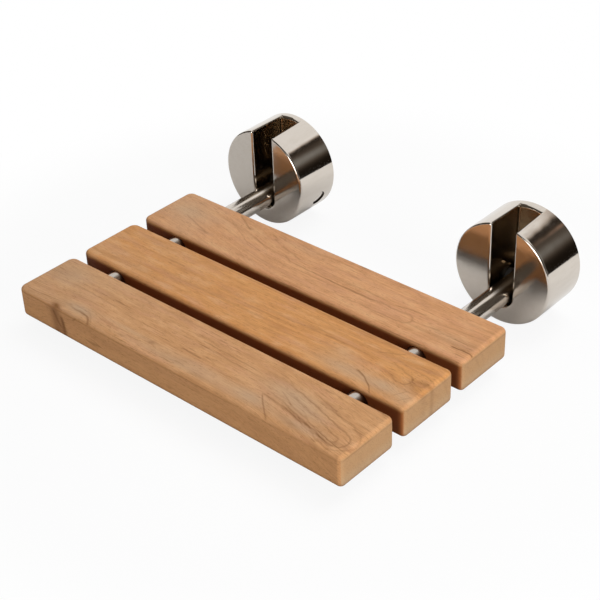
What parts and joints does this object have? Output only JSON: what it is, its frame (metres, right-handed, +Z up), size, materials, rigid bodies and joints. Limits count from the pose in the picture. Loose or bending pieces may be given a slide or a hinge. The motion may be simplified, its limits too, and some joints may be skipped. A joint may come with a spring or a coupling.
{
  "type": "folding shower seat",
  "caption": "Fold-down shower seat: wooden slats on polished round rods that hinge in round wall brackets with slotted covers.",
  "frame": {"origin": "on the wall, midway between the two brackets, at the height of the brackets' centres", "axes": "+X along the slats to the right bracket as seen from in front of the seat, +Y into the wall, +Z up; the seat is lowered at rest and reaches towards -Y"},
  "size_m": [0.4074, 0.344, 0.1054],
  "materials": {
    "teak": "sanded and oiled, soft satin",
    "polished_metal": "mirror polish",
    "cast_metal": "bead-blasted casting",
    "plain_steel": "plain, lightly brushed",
    "nylon": "moulded, matt"
  },
  "bodies": {
    "wall_brackets": {"bracket_cover_left": "polished_metal", "bracket_cover_right": "polished_metal", "wall_plate_left": "plain_steel", "wall_plate_right": "plain_steel", "hinge_yoke_left": "cast_metal", "hinge_yoke_right": "cast_metal", "pivot_pin_left": "polished_metal", "pivot_pin_right": "polished_metal", "pivot_washer_left": "plain_steel", "pivot_washer_right": "plain_steel", "pivot_nut_left": "plain_steel", "pivot_nut_right": "plain_steel", "yoke_screw_left_1": "plain_steel", "yoke_screw_left_2": "plain_steel", "yoke_screw_left_3": "plain_steel", "yoke_screw_left_4": "plain_steel", "yoke_screw_right_1": "plain_steel", "yoke_screw_right_2": "plain_steel", "yoke_screw_right_3": "plain_steel", "yoke_screw_right_4": "plain_steel"},
    "seat": {"slat_front": "teak", "slat_middle": "teak", "slat_rear": "teak", "rod_left": "polished_metal", "rod_right": "polished_metal", "slat_screw_front_left": "plain_steel", "slat_screw_front_right": "plain_steel", "slat_screw_middle_left": "plain_steel", "slat_screw_middle_right": "plain_steel", "slat_screw_rear_left": "plain_steel", "slat_screw_rear_right": "plain_steel", "pivot_bush_left_inner": "nylon", "pivot_bush_left_outer": "nylon", "pivot_bush_right_inner": "nylon", "pivot_bush_right_outer": "nylon"}
  },
  "joints": [
    {"name": "seat_fold", "type": "hinge", "parent": "wall_brackets", "child": "seat", "pos_m": [0, -0.0195, -0.0224], "axis": [-1, 0, 0], "range_deg": [0, 90]}
  ]
}
